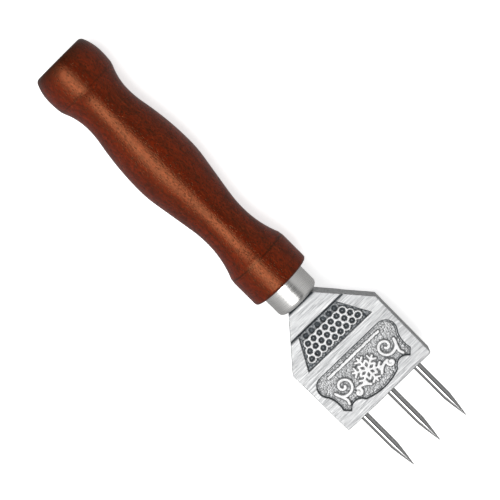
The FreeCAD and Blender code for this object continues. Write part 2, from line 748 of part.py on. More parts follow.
def head_holes(body):
    """The tapped hole for the stud and three blind holes for the prongs, all along the tool's axis."""
    s = sizes
    stud_hole = new_sketch(body, "stud_hole_profile")
    near_text = "sizes.collar_end + sizes.ferrule_length"
    far_text = HEAD_TOP + " + sizes.stud_in_head"
    near, far = head_top - s["head_gap"], head_top + s["stud_in_head"]
    polygon(
        stud_hole,
        [
            ((near, 0), near_text, None),
            ((near, s["stud_radius"]), near_text, "sizes.stud_radius"),
            ((far, s["stud_radius"]), far_text, "sizes.stud_radius"),
            ((far + s["drill_spare"], 0), far_text + " + sizes.drill_spare", None),
        ],
    )
    hold_on_axis(stud_hole, (0, 3))
    revolve(body, "Groove", "stud_hole", stud_hole)

    plane = next(p for p in body.Origin.OriginFeatures if p.Role == "YZ_Plane")
    circles = body.newObject("Sketcher::SketchObject", "prong_hole_outline")
    circles.AttachmentSupport = [(plane, "")]
    circles.MapMode = "FlatFace"
    circles.setExpression("AttachmentOffset.Base.z", HEAD_END)
    for number in (-1, 0, 1):
        circle = circles.addGeometry(
            Part.Circle(Vector(number * s["prong_spacing"], 0, 0), Vector(0, 0, 1), s["prong_root_radius"])
        )
        bind(circles, "Radius", circle, to="sizes.prong_root_radius")
        circles.addConstraint(Sketcher.Constraint("PointOnObject", circle, CENTRE, -1))
        if number:
            place(circles, (circle, CENTRE), "sizes.prong_spacing")
        else:
            circles.addConstraint(Sketcher.Constraint("PointOnObject", circle, CENTRE, -2))
    feature(body, "Pocket", "prong_holes", circles, Length="sizes.prong_hole_depth")


def prong(label, number):
    """A round pin with a long cone. Its thinner root is pressed into the head, up to its shoulder."""
    s = sizes
    body = new_body(label)
    body.setExpression("Placement.Base.y", "%d * sizes.prong_spacing" % number)
    start, tip = head_end - s["prong_hole_depth"], s["total_length"]
    start_text = HEAD_END + " - sizes.prong_hole_depth"
    cone, cone_text = tip - s["prong_cone"], "sizes.total_length - sizes.prong_cone"
    root, pin, point, chamfer = (
        s[key] for key in ("prong_root_radius", "prong_radius", "prong_tip_radius", "prong_chamfer")
    )
    root_text, pin_text = "sizes.prong_root_radius", "sizes.prong_radius"
    sketch = new_sketch(body, "prong_profile")
    polygon(
        sketch,
        [
            ((start, 0), start_text, None),
            ((start, root - chamfer), start_text, root_text + " - sizes.prong_chamfer"),
            ((start + chamfer, root), start_text + " + sizes.prong_chamfer", root_text),
            ((head_end, root), HEAD_END, root_text),
            ((head_end, pin), HEAD_END, pin_text),
            ((cone, pin), cone_text, pin_text),
            ((tip, point), "sizes.total_length", "sizes.prong_tip_radius"),
            ((tip, 0), "sizes.total_length", None),
        ],
    )
    hold_on_axis(sketch, (0, 7))
    revolve(body, "Revolution", "pin", sketch)
    return body


bodies = [wood_handle(), ferrule(), stud(), head_casting()]
for name, number in (("prong_left", -1), ("prong_middle", 0), ("prong_right", 1)):
    bodies.append(prong(name, number))
doc.recompute()

for item in doc.Objects:
    if "Invalid" in item.State or "Error" in item.State:
        raise RuntimeError("%s failed: %s" % (item.Name, item.State))
os.makedirs("parts", exist_ok=True)
for body in bodies:
    if body.Shape.isNull() or not body.Shape.isValid() or len(body.Shape.Solids) != 1:
        raise RuntimeError("%s is not one valid solid" % body.Label)
    body.Shape.exportStep("parts/%s.step" % body.Label)
    print("%-14s %9.1f mm3" % (body.Label, body.Shape.Volume))
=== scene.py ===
import math

import bpy
import numpy as np
from mathutils import Matrix, Vector


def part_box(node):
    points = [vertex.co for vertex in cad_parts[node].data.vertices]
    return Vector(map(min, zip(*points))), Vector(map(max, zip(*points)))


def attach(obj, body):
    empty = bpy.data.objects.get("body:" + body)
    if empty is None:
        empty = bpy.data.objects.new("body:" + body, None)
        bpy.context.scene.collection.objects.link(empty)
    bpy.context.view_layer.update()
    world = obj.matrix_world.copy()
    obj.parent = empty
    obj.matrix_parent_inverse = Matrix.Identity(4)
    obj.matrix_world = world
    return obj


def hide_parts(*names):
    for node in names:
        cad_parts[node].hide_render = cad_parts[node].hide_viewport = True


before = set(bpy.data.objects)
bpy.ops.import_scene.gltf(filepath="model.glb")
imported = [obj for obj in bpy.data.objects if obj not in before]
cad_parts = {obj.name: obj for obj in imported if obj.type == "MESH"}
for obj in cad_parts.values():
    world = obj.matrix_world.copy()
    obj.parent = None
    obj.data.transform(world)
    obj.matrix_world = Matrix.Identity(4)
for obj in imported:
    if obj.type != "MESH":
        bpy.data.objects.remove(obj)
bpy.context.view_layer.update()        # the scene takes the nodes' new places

mm = 0.001
woodLow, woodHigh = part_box("wood_handle")
ferruleLow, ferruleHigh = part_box("ferrule")
studLow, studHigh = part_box("stud")
headLow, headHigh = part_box("head_casting")
axisHeight = (woodLow.z + woodHigh.z) / 2      # the tool's long axis above the floor


# working with arrays

def ease(t):
    # 3t^2 - 2t^3 between 0 and 1, flat outside
    t = np.clip(t, 0.0, 1.0)
    return t * t * (3.0 - 2.0 * t)


def blurAlong(values, sigma, axis=0):
    # weighted mean with a bell-shaped weight of sigma grid steps, ends held
    reach = max(1, int(3 * sigma))
    weight = np.exp(-0.5 * (np.arange(-reach, reach + 1) / sigma) ** 2)
    weight /= weight.sum()
    pad = [(0, 0)] * values.ndim
    pad[axis] = (reach, reach)
    padded = np.pad(values, pad, mode="edge")
    length = values.shape[axis]
    total = np.zeros_like(values)
    for k, w in enumerate(weight):
        total += w * np.take(padded, np.arange(k, k + length), axis=axis)
    return total


def arcBetween(a, b, radius, bend, count=14):
    # points of the arc of that radius from a to b; it bulges to the left of a-b for bend 1, right for -1
    a, b = np.array(a, float), np.array(b, float)
    chord = b - a
    half = np.hypot(*chord) / 2
    left = np.array([-chord[1], chord[0]]) / (2 * half)
    middle = (a + b) / 2 - left * bend * math.sqrt(radius ** 2 - half ** 2)
    start = math.atan2(*(a - middle)[::-1])
    sweep = -2 * bend * math.asin(half / radius)
    angle = start + np.linspace(0, sweep, count)
    return middle + radius * np.stack([np.cos(angle), np.sin(angle)], axis=1)


def distanceToPath(points, path):
    # shortest distance from each point to a chain of straight edges
    best = np.full(len(points), np.inf)
    for a, b in zip(path[:-1], path[1:]):
        edge = b - a
        away = points - a
        share = np.clip(away @ edge / max(edge @ edge, 1e-12), 0, 1)
        best = np.minimum(best, np.hypot(*(away - share[:, None] * edge).T))
    return best


def depthInside(points, outline):
    # distance to a closed outline, positive inside it: the even-odd rule gives the side
    closed = np.vstack([outline, outline[:1]])
    inside = np.zeros(len(points), bool)
    for a, b in zip(closed[:-1], closed[1:]):
        spans = (a[1] > points[:, 1]) != (b[1] > points[:, 1])
        rise = b[1] - a[1] if b[1] != a[1] else 1.0
        inside ^= spans & (points[:, 0] < a[0] + (points[:, 1] - a[1]) * (b[0] - a[0]) / rise)
    distance = distanceToPath(points, closed)
    return np.where(inside, distance, -distance)


def bandFaces(rows, columns, closed=False):
    # quads between neighbouring rings of points; closed joins the last ring to the first
    r = np.arange(rows if closed else rows - 1)[:, None]
    c = np.arange(columns)[None, :]
    here, there = r * columns, ((r + 1) % rows) * columns
    nextColumn = (c + 1) % columns
    return np.stack([here + c, here + nextColumn, there + nextColumn, there + c], axis=-1).reshape(-1, 4)


def newPiece(name, points, quads, fans=None):
    # quads and fan triangles as one closed mesh; if its signed volume (the sum of each face's corner
    # triple product) is negative, all faces are turned over
    a, b, c, d = (points[quads[:, k]] for k in range(4))
    volume = np.einsum("ij,ij->", a, np.cross(b, c)) + np.einsum("ij,ij->", a, np.cross(c, d))
    if fans is not None:
        volume += np.einsum("ij,ij->", points[fans[:, 0]], np.cross(points[fans[:, 1]], points[fans[:, 2]]))
    if volume < 0:
        quads = quads[:, ::-1]
        fans = None if fans is None else fans[:, ::-1]
    corners = quads.ravel() if fans is None else np.concatenate([quads.ravel(), fans.ravel()])
    starts = np.arange(len(quads)) * 4
    if fans is not None:
        starts = np.concatenate([starts, len(quads) * 4 + np.arange(len(fans)) * 3])
    mesh = bpy.data.meshes.new(name)
    mesh.vertices.add(len(points))
    mesh.vertices.foreach_set("co", points.astype(np.float32).ravel())
    mesh.loops.add(len(corners))
    mesh.loops.foreach_set("vertex_index", corners.astype(np.int32))
    mesh.polygons.add(len(starts))
    mesh.polygons.foreach_set("loop_start", starts.astype(np.int32))
    mesh.update(calc_edges=True)
    mesh.validate()
    mesh.shade_smooth()
    piece = bpy.data.objects.new(name, mesh)
    bpy.context.scene.collection.objects.link(piece)
    return piece


def ringPiece(name, rings, poles=None):
    # rings of points (rings, points on a ring, 3), joined in order; poles are the two end points, and
    # without them the last ring joins the first
    count, around = rings.shape[:2]
    points = rings.reshape(-1, 3)
    quads = bandFaces(count, around, closed=poles is None)
    if poles is None:
        return newPiece(name, points, quads)
    k = np.arange(around)
    last = (count - 1) * around
    start = np.stack([np.full(around, len(points)), (k + 1) % around, k], axis=1)
    end = np.stack([np.full(around, len(points) + 1), last + k, last + (k + 1) % around], axis=1)
    return newPiece(name, np.vstack([points, poles]), quads, np.vstack([start, end]))


def turnedPiece(name, profile, around, y=0.0):
    # a lathe surface: (x, radius) carried round the long axis through (y, axisHeight)
    angle = np.linspace(0, 2 * math.pi, around, endpoint=False)
    hasPoles = profile[0, 1] == 0 and profile[-1, 1] == 0
    body = profile[1:-1] if hasPoles else profile
    x = np.repeat(body[:, :1], around, axis=1)
    rings = np.stack([x, y + body[:, 1:] * np.cos(angle), axisHeight + body[:, 1:] * np.sin(angle)], axis=-1)
    poles = [(profile[0, 0], y, axisHeight), (profile[-1, 0], y, axisHeight)] if hasPoles else None
    return ringPiece(name, rings, poles)


def evenly(line, step):
    # the line resampled at even steps of its own length
    along = np.concatenate([[0], np.cumsum(np.hypot(*np.diff(line, axis=0).T))])
    count = max(2, int(round(along[-1] / step)) + 1)
    places = np.linspace(0, along[-1], count)
    return np.stack([np.interp(places, along, line[:, k]) for k in (0, 1)], axis=1)


def finishPiece(piece, material, slot, *nodes):
    # the piece takes the place of the named CAD nodes and stays on the one body
    piece.data.materials.append(material)
    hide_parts(*nodes)
    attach(piece, "root")
    print(piece.name, "has", len(piece.data.polygons), "faces")


# node helpers for the finishes

class Finish:
    # a material under construction: node() adds one, link() joins two sockets
    def __init__(self, name):
        self.material = bpy.data.materials.new(name)
        self.material.use_nodes = True
        self.tree = self.material.node_tree
        self.tree.nodes.clear()
        self.shader = self.node("ShaderNodeBsdfPrincipled")
        output = self.node("ShaderNodeOutputMaterial")
        self.link(self.shader, "BSDF", output, "Surface")
        self.place = self.node("ShaderNodeTexCoord")

    def node(self, kind, settings=None, **inputs):
        # settings are the node's own choices, inputs are values on its sockets
        made = self.tree.nodes.new(kind)
        for key, value in (settings or {}).items():
            setattr(made, key, value)
        for key, value in inputs.items():
            made.inputs[key.replace("_", " ")].default_value = value
        return made

    def link(self, source, output, target, name):
        self.tree.links.new(source.outputs[output], target.inputs[name])

    def stretched(self, scale, shift=(0, 0, 0)):
        # Object coordinates in metres, scaled by cells per metre along each axis
        mapping = self.node("ShaderNodeMapping")
        mapping.inputs["Scale"].default_value = scale
        mapping.inputs["Location"].default_value = shift
        self.link(self.place, "Object", mapping, "Vector")
        return mapping

    def noise(self, scale, detail=2.0, roughness=0.5, distortion=0.0, shift=(0, 0, 0)):
        # soft noise whose cells are stretched as above
        made = self.node("ShaderNodeTexNoise", Scale=1.0, Detail=detail, Roughness=roughness,
                         Distortion=distortion)
        self.link(self.stretched(scale, shift), "Vector", made, "Vector")
        return made

    def ramp(self, source, output, stops):
        # colours or greys at their places between 0 and 1, blended evenly from stop to stop
        made = self.node("ShaderNodeValToRGB")
        elements = made.color_ramp.elements
        while len(elements) < len(stops):
            elements.new(0.5)
        for element, (place, colour) in zip(elements, stops):
            element.position = place
            element.color = (*colour, 1.0) if hasattr(colour, "__len__") else (colour, colour, colour, 1.0)
        self.link(source, output, made, "Fac")
        return made

    def mix(self, kind, share, a, b):
        # a and b are (node, output) or a plain colour; share is (node, output) or a number
        made = self.node("ShaderNodeMix", {"data_type": "RGBA", "blend_type": kind})
        for value, index in ((share, 0), (a, 6), (b, 7)):
            if isinstance(value, tuple) and not isinstance(value[0], (int, float)):
                self.tree.links.new(value[0].outputs[value[1]], made.inputs[index])
            elif index == 0:
                made.inputs[0].default_value = value
            else:
                made.inputs[index].default_value = (*value, 1.0)
        return made, 2

    def math(self, operation, a, b=0.0, clamp=False):
        # one operation on numbers or (node, output) pairs; clamp keeps the result between 0 and 1
        made = self.node("ShaderNodeMath", {"operation": operation, "use_clamp": clamp})
        for k, value in enumerate((a, b)):
            if isinstance(value, tuple):
                self.tree.links.new(value[0].outputs[value[1]], made.inputs[k])
            else:
                made.inputs[k].default_value = value
        return made, 0

    def attribute(self, name):
        # a value that the mesh stores at its points
        made = self.node("ShaderNodeAttribute")
        made.attribute_name = name
        return made, "Fac"

    def bump(self, height, strength, distance, under=None):
        # tilts the shading by the slope of height times distance; under is a bump that comes first
        made = self.node("ShaderNodeBump", Strength=strength, Distance=distance)
        self.tree.links.new(height[0].outputs[height[1]], made.inputs["Height"])
        if under is not None:
            self.link(under, "Normal", made, "Normal")
        return made

    def put(self, source, name):
        # joins (node, output) to a socket of the shader
        self.tree.links.new(source[0].outputs[source[1]], self.shader.inputs[name])


# handle

handle = {
    "around": 232,            # points on one turn
    "step": 0.52 * mm,        # between rings
    "softness": 0.32 * mm,    # how far the lathe's corners are rubbed down
    "creases": (15.5, 107.3),  # scored lines, in mm from the pommel's end
    "creaseDepth": 0.13 * mm,
    "creaseWidth": 0.42 * mm,
    "tenonInset": 1.0 * mm,   # the ferrule's wall round the tenon
    "fineSteps": 8,           # steps between two rings while the outline is being softened
    "outsideMargin": 0.2 * mm,    # the outside is what stands at least this far over the tenon
    "collarMargin": 0.05 * mm,    # and ends at most this far past the ferrule's edge
    "drillPoint": 1.5 * mm,
}

woodLook = {
    "base": (0.116, 0.0060, 0.0003),
    "deep": (0.056, 0.0022, 0.0002),
    "warm": (0.215, 0.0300, 0.0050),
    "poreAndShadeColour": (0.010, 0.0006, 0.0002),
    "gloss": 0.27,                     # roughness of the varnish
    "shine": (1.0, 0.36, 0.16),
    # painted shade, darker bands at the pommel's rim, in the two creases and at the collar's edge: mm from
    # the pommel's end, half width in mm, share of the dark colour
    "paintedShadeBands": ((0.0, 5.5, 1.0), (15.5, 0.5, 0.6), (107.3, 0.6, 0.9), (121.2, 1.3, 0.9)),
    # pattern cells per metre along and across the handle
    "grainCells": (60, 900, 900),
    "cloudCells": (26, 95, 95),
    "speckCells": (640, 1700, 1700),
    "bandCells": (18, 120, 120),
    "poreCells": (540, 1600, 1600),
}


def outerLine(node, leastRadius):
    # a turned CAD node's outline as (x, radius) up to the ferrule: its outermost point at each place
    # along the axis, leaving out what is nearer to the axis than leastRadius
    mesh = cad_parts[node].data
    points = np.empty(3 * len(mesh.vertices))
    mesh.vertices.foreach_get("co", points)
    points = points.reshape(-1, 3)
    radius = np.hypot(points[:, 1], points[:, 2] - axisHeight)
    kept = (radius > leastRadius) & (points[:, 0] < ferruleLow.x + handle["collarMargin"])
    x = np.round(points[kept, 0], 6)
    places = np.unique(x)
    return np.array([(place, radius[kept][x == place].max()) for place in places])


def handleProfile():
    # pole, pommel end, turned outline, collar face, tenon and drilled hole, back to the axis; the
    # outside is averaged along its length with a bell-shaped weight, which softens the lathe's corners
    tenon = (ferruleHigh.z - ferruleLow.z) / 2 - handle["tenonInset"]
    bore = (studHigh.z - studLow.z) / 2
    outside = outerLine("wood_handle", tenon + handle["outsideMargin"])
    outside = np.vstack([[outside[0, 0], 0], outside, [outside[-1, 0], tenon]])
    fineStep = handle["step"] / handle["fineSteps"]
    fine = blurAlong(evenly(outside, fineStep), handle["softness"] / fineStep)
    line = fine[::handle["fineSteps"]]
    for crease in handle["creases"]:
        away = (line[:, 0] - woodLow.x - crease * mm) / handle["creaseWidth"]
        line[:, 1] -= handle["creaseDepth"] * np.exp(-away ** 2)
    line[0] = (woodLow.x, 0)
    hidden = [
        (ferruleLow.x, tenon),
        (woodHigh.x, tenon),
        (woodHigh.x, bore),
        (studLow.x, bore),
        (studLow.x - handle["drillPoint"], 0),
    ]
    return np.vstack([line, hidden])


def stainedWood():
    # 3-D figure cut by the turning: long grain streaks, growth bands, open pores and a thin varnish, with
    # bands of painted shade at the pommel's rim, in the creases and at the collar's edge
    f = Finish("stained_wood")
    look = woodLook
    grain = f.noise(look["grainCells"], detail=6, roughness=0.62, distortion=0.35)
    cloud = f.noise(look["cloudCells"], detail=4, roughness=0.55, shift=(0.7, 0.2, 0.4))
    speck = f.noise(look["speckCells"], detail=3, roughness=0.6, shift=(0.1, 0.6, 0.3))
    bands = f.node("ShaderNodeTexWave", {"wave_type": "RINGS", "rings_direction": "X"},
                   Scale=1.0, Distortion=5.0, Detail=3.0, Detail_Scale=1.2)
    f.link(f.stretched(look["bandCells"], (0, 1.1, -1.9)), "Vector", bands, "Vector")
    pores = f.node("ShaderNodeTexVoronoi", {"feature": "F1"}, Scale=1.0, Randomness=1.0)
    f.link(f.stretched(look["poreCells"]), "Vector", pores, "Vector")
    pit = f.ramp(pores, "Distance", [(0.0, 0.0), (0.18, 0.0), (0.35, 1.0)])

    tone = f.ramp(grain, "Fac", [(0.32, look["deep"]), (0.47, look["base"]), (0.60, look["base"]),
                                 (0.78, look["warm"])])
    growth = f.ramp(bands, "Fac", [(0.1, 0.45), (0.8, 1.0)])
    shade = f.ramp(cloud, "Fac", [(0.32, 0.62), (0.62, 1.12)])
    fleck = f.ramp(speck, "Fac", [(0.38, 0.45), (0.54, 1.05)])
    pale = f.ramp(speck, "Fac", [(0.54, 0.0), (0.72, 0.4)])
    banded = f.mix("MULTIPLY", 0.38, (tone, "Color"), (growth, "Color"))
    clouded = f.mix("MULTIPLY", 0.75, banded, (shade, "Color"))
    flecked = f.mix("MULTIPLY", 0.9, clouded, (fleck, "Color"))
    glint = f.mix("MIX", (pale, "Color"), flecked, look["warm"])
    split = f.node("ShaderNodeSeparateXYZ")
    f.link(f.place, "Object", split, "Vector")
    # painted shade: each band pulls the wood towards the pore colour, most at its middle
    dark = 0.0
    for place, width, share in look["paintedShadeBands"]:
        away = f.math("ABSOLUTE", f.math("SUBTRACT", (split, "X"), woodLow.x + place * mm))
        near = f.math("SUBTRACT", 1.0, f.math("DIVIDE", away, width * mm), clamp=True)
        dark = f.math("MAXIMUM", f.math("MULTIPLY", near, share), dark)
    colour = f.mix("MIX", (pit, "Color"), look["poreAndShadeColour"], f.mix("MIX", dark, glint, look["poreAndShadeColour"]))
    f.put(colour, "Base Color")

    gloss = f.ramp(speck, "Fac", [(0.3, look["gloss"] + 0.12), (0.7, look["gloss"] - 0.04)])
    f.put((gloss, "Color"), "Roughness")
    ripple = f.bump((grain, "Fac"), 0.3, 0.14 * mm)
    dapple = f.bump((speck, "Fac"), 0.5, 0.12 * mm, under=ripple)
    f.put((f.bump((pit, "Color"), 0.55, 0.07 * mm, under=dapple), "Normal"), "Normal")
    f.shader.inputs["Specular IOR Level"].default_value = 1.0
    f.shader.inputs["Specular Tint"].default_value = (*look["shine"], 1.0)
    return f.material


turnedHandle = turnedPiece("handle_turned", handleProfile(), handle["around"])
finishPiece(turnedHandle, stainedWood(), "stained_wood", "wood_handle")


# ferrule

ferrule = {
    "around": 180, "wall": 1.0 * mm, "endRound": 2.2 * mm, "lip": 0.3 * mm, "steps": 14,
    "colour": (0.97, 0.96, 0.94), "roughness": 0.26, "lines": 5200, "haze": 0.86,
}


def ferruleProfile():
    # a cup in section: wall outside, quarter round, end face, stud hole, inside, and a rounded lip
    outer = (ferruleHigh.z - ferruleLow.z) / 2
    hole = (studHigh.z - studLow.z) / 2
    turn = np.linspace(0, math.pi / 2, ferrule["steps"])
    bend, lip, wall = ferrule["endRound"], ferrule["lip"], ferrule["wall"]
    x0, x1 = ferruleLow.x, ferruleHigh.x
    lipArc = np.stack([x0 + lip - lip * np.cos(turn), outer - lip + lip * np.sin(turn)], axis=1)
    side = np.stack([np.linspace(x0 + lip, x1 - bend, 18)[1:-1], np.full(16, outer)], axis=1)
    roundEnd = np.stack([x1 - bend + bend * np.sin(turn), outer - bend + bend * np.cos(turn)], axis=1)
    rest = np.array([(x1, hole), (x1 - wall, hole), (x1 - wall, outer - wall), (x0, outer - wall)])
    return np.vstack([lipArc, side, roundEnd, rest])


def turnedSteel(name, look):
    # fine turning rings: noise packed tightly along the axis, with look["lines"] cells per metre, and
    # nearly constant round it, and a faint haze whose darkest tone is look["haze"]
    f = Finish(name)
    rings = f.noise((look["lines"], 60, 60), detail=3, roughness=0.6)
    haze = f.noise((240, 240, 240), detail=4, roughness=0.6)
    clouding = f.ramp(haze, "Fac", [(0.3, look["haze"]), (0.7, 1.0)])
    f.put(f.mix("MULTIPLY", 0.5, look["colour"], (clouding, "Color")), "Base Color")
    gloss = f.ramp(rings, "Fac", [(0.3, look["roughness"] * 0.75), (0.7, look["roughness"] * 1.3)])
    f.put((gloss, "Color"), "Roughness")
    f.put((f.bump((rings, "Fac"), 0.16, 0.03 * mm), "Normal"), "Normal")
    f.shader.inputs["Metallic"].default_value = 1.0
    return f.material


turnedFerrule = turnedPiece("ferrule_turned", ferruleProfile(), ferrule["around"])
finishPiece(turnedFerrule, turnedSteel("ferrule_steel", ferrule), "satin_steel", "ferrule")


# prongs

prong = {
    "around": 56, "shankRings": 40, "coneRings": 110,
    "tip": 0.12 * mm, "cone": 11.7 * mm, "swell": 0.10 * mm, "softRings": 5, "sharpShare": 0.9,
    "colour": (0.55, 0.55, 0.55), "roughness": 0.13, "lines": 3600, "haze": 0.75,
}


def prongProfile(node):
    # straight pin, then a cone that swells by a parabola, averaged over a few rings except near its
    # sharp end, then a tiny round point
    low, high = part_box(node)
    radius = (high.z - low.z) / 2
    x = np.concatenate([
        np.linspace(low.x, high.x - prong["cone"], prong["shankRings"]),
        np.linspace(high.x - prong["cone"], high.x - prong["tip"], prong["coneRings"])[1:],
    ])
    share = np.clip((x - (high.x - prong["cone"])) / (prong["cone"] - prong["tip"]), 0, 1)
    line = radius + (prong["tip"] - radius) * share + prong["swell"] * 4 * share * (1 - share)
    blend = blurAlong(line, prong["softRings"])
    line = np.where(share > prong["sharpShare"], line, np.minimum(blend, radius))
    turn = np.linspace(0, math.pi / 2, 7)[1:-1]
    tip = prong["tip"]
    point = np.stack([high.x - tip + tip * np.sin(turn), tip * np.cos(turn)], axis=1)
    return np.vstack([[low.x, 0], np.stack([x, line], axis=1), point, [high.x, 0]])


prongSteel = turnedSteel("prong_steel", prong)
for node in ("prong_left", "prong_middle", "prong_right"):
    low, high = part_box(node)
    made = turnedPiece(node + "_ground", prongProfile(node), prong["around"], (low.y + high.y) / 2)
    finishPiece(made, prongSteel, "prong_steel", node)


# head casting

# lengths are in millimetres, and a place is measured from the head's top edge towards the prongs
head = {
    "length": 49.6, "topHalf": 6.5, "half": 22.5, "endHalf": 22.3, "shoulder": 18.6,
    "thickness": 9.3, "cornerRound": 0.9, "edgeRound": 0.35,
    "plateau": 8.5, "plateauRise": 0.7, "plateauSlope": 0.3,
    "footPlace": 0.3, "footRun": 0.42, "footDepth": 0.4,      # groove at the plateau's foot, with painted shade along it
    "ferruleShadowEnd": 0.75, "ferruleShadowRun": 0.35,                     # painted shadow of the ferrule along the head's top rim
    "frontColumns": 262, "backColumns": 44, "sideColumns": 12, "roundColumns": 4,
}
panel = {
    "start": 8.8, "end": 21.95, "topHalf": 9.85, "endHalf": 17.0, "depth": 0.9, "slope": 0.42,
    "webRise": 0.62, "reach": 1.94, "webEdge": 0.3, "pitch": 3.09,
    "dimple": 1.05, "dimpleDepth": 0.58, "cupEdge": 0.36, "heart": 0.5,
    "firstRow": 10.9, "rowPitch": 2.7, "rows": 4, "firstCount": 6, "filledPast": 1.1, "filledRun": 0.8,
    "webGrime": 0.14, "grimeStart": 1.36, "grimeRun": 0.34, "unevenness": 0.26,
    "uneven": (0.7, 5), "mottle": (0.9, 8),        # grain size and seed
}
cartouche = {
    "depth": 0.9, "slope": 0.4, "top": 26.6, "topHalf": 15.05, "corner": 4.69, "cheek": 34.6,
    "cheekHalf": 18.7, "pinch": 11.5, "ear": 42.4, "earHalf": 18.0, "earTip": 44.7, "earTipHalf": 15.7,
    "archRadius": 4.0, "arch": 45.2, "archHalf": 8.6, "end": 46.9,
    "moat": 0.62, "moatPlace": 0.45, "moatDepth": 0.2, "rutPlace": 0.12, "rutWidth": 0.22,
    "bead": 2.5, "beadHalf": 13.4, "beadWidth": 0.66, "beadRise": 0.7, "beadWaver": 0.35,
    "pebble": (0.74, 11), "beadUneven": (1.1, 21),            # grain size and seed
    "pebbleHeight": 0.36, "haloCells": 3.0,
}
ornament = {
    "rise": 0.88, "line": 0.74, "starThin": 0.1, "edge": 0.46,
    "starPlace": 37.2, "starReach": 5.9, "barbs": (2.3, 4.2), "barbLength": 2.0,
    "scrollPlace": 35.4, "scrollHalf": 11.3, "scrollReach": 4.4, "turns": 1.6,
    "tail": ((2.4, 3.5), (5.0, 2.6), (6.6, 3.2)),             # from the scroll's centre
    "leafPlace": (5.9, -2.6), "leafReach": 1.7, "leafTurns": 1.1,
    "vineStart": (5.0, 3.0), "vineEnd": (4.4, -3.2), "vineRadius": 6.0,
}


def cartoucheOutline():
    # half of the outline as arcs and one straight ear, then its mirror image
    c = cartouche
    top, cheek = (c["top"], c["topHalf"]), (c["cheek"], c["cheekHalf"])
    ear, earTip, arch = (c["ear"], c["earHalf"]), (c["earTip"], c["earTipHalf"]), (c["arch"], c["archHalf"])
    rise = c["end"] - c["arch"]
    belly = (rise ** 2 + c["archHalf"] ** 2) / (2 * rise)
    half = np.vstack([
        arcBetween(top, cheek, c["corner"], 1),
        arcBetween(cheek, ear, c["pinch"], -1)[1:],
        arcBetween(earTip, arch, c["archRadius"], -1),
        arcBetween(arch, (arch[0], -arch[1]), belly, 1, 25)[1:13],
    ])
    mirrored = half[::-1] * (1, -1)
    return np.vstack([half, mirrored])


def dimpleCentres():
    # rows of evenly spaced cups, each row one cup longer than the row before
    centres = []
    for row in range(panel["rows"]):
        count = panel["firstCount"] + row
        across = (np.arange(count) - (count - 1) / 2) * panel["pitch"]
        place = np.full(count, panel["firstRow"] + row * panel["rowPitch"])
        centres.append(np.stack([place, across], axis=1))
    return np.vstack(centres)


def spiral(centre, reach, turns, start, hand):
    # radius grows evenly with the angle, from the centre outwards to reach at the angle start
    share = np.linspace(0.12, 1, 46)
    angle = start + hand * 2 * math.pi * turns * (share - 1)
    return centre + reach * share[:, None] * np.stack([np.cos(angle), np.sin(angle)], axis=1)


def ornamentHeight(place, across):
    # flat-topped ridges with eased sides along every line of the ornament: a barbed star of six arms,
    # folded into one, and a leafy scroll on each side
    o = ornament
    points = np.stack([place.ravel(), np.abs(across).ravel()], axis=1)
    near = points - (o["starPlace"], 0)
    radius = np.hypot(*near.T)
    angle = np.arctan2(np.abs(near[:, 1]), near[:, 0])
    folded = np.abs((angle + math.pi / 6) % (math.pi / 3) - math.pi / 6)
    arm = np.stack([radius * np.cos(folded), radius * np.sin(folded)], axis=1)
    star = distanceToPath(arm, np.array([(0, 0), (o["starReach"], 0)]))
    for barb in o["barbs"]:
        tip = (barb + o["barbLength"] * 0.5, o["barbLength"] * 0.87)
        star = np.minimum(star, distanceToPath(arm, np.array([(barb, 0), tip])))
    centre = (o["scrollPlace"], o["scrollHalf"])
    tail = np.array(o["tail"]) + centre
    curl = spiral(centre, o["scrollReach"], o["turns"], math.pi * 0.5, 1)
    scroll = distanceToPath(points, np.vstack([curl, tail]))
    leafCentre = np.array(centre) + o["leafPlace"]
    leaf = distanceToPath(points, spiral(leafCentre, o["leafReach"], o["leafTurns"], math.pi * 1.2, -1))
    vineStart = np.array((o["starPlace"], 0)) + o["vineStart"]
    vineEnd = np.array(centre) + o["vineEnd"]
    vine = distanceToPath(points, arcBetween(vineStart, vineEnd, o["vineRadius"], 1))
    nearest = np.minimum(np.minimum(star + o["starThin"], scroll), np.minimum(leaf, vine))
    return (o["rise"] * ease((o["line"] - nearest) / o["edge"] + 0.5)).reshape(place.shape)


def pebbles(place, across, size, seed):
    # one jittered grain in each cell of a grid; height falls off from the nearest grain
    field = 60                                     # mm, more than the head's length and width
    cells = int(field / size)
    jitter = np.random.default_rng(seed).random((cells, cells, 3))
    u, v = place / size, (across + field / 2) / size
    nearest = np.full(place.shape, 9.0)
    lift = np.zeros(place.shape)
    for du in (-1, 0, 1):
        for dv in (-1, 0, 1):
            iu = np.clip(np.floor(u).astype(int) + du, 0, cells - 1)
            iv = np.clip(np.floor(v).astype(int) + dv, 0, cells - 1)
            grain = jitter[iu, iv]
            away = np.hypot(u - iu - grain[..., 0], v - iv - grain[..., 1])
            closer = away < nearest
            nearest = np.where(closer, away, nearest)
            lift = np.where(closer, 0.5 + 0.5 * grain[..., 2], lift)
    return lift * ease(1 - nearest / 0.75)


def plateauHeight(place):
    # one smooth step down from the raised top end
    return head["plateauRise"] * (1 - ease((place - head["plateau"]) / head["plateauSlope"] + 0.5))


